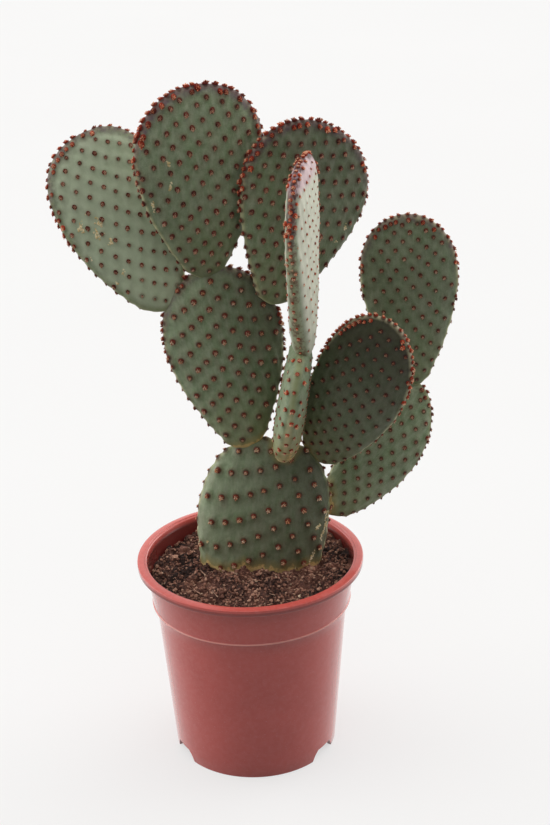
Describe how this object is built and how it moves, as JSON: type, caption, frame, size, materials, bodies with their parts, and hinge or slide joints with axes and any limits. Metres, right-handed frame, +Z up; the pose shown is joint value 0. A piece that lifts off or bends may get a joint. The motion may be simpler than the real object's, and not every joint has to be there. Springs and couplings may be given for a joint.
{
  "type": "potted paddle cactus",
  "caption": "Paddle cactus of flat obovate pads dotted with bristle tufts, growing from soil in a tapered round plastic nursery pot with a rolled rim.",
  "frame": {"origin": "middle of the whole object's box in plan, on the surface that the pot stands on", "axes": "+Z up, +Y to the back as the picture sees it, +X to its right"},
  "size_m": [0.2248, 0.13, 0.3949],
  "materials": {
    "pot_plastic": "satin, red-brown",
    "soil": "loose crumbly dark peat",
    "cactus_skin": "grey-green waxy skin with red-brown bristle tufts"
  },
  "bodies": {
    "root": {"pot": "pot_plastic", "soil": "soil", "pad_base": "cactus_skin", "pad_left_mid": "cactus_skin", "pad_top_mid": "cactus_skin", "pad_far_left": "cactus_skin", "pad_top_right": "cactus_skin", "pad_right_front": "cactus_skin", "pad_right_low": "cactus_skin", "pad_right_tall": "cactus_skin", "pad_edge_low": "cactus_skin", "pad_edge_top": "cactus_skin"}
  },
  "joints": []
}
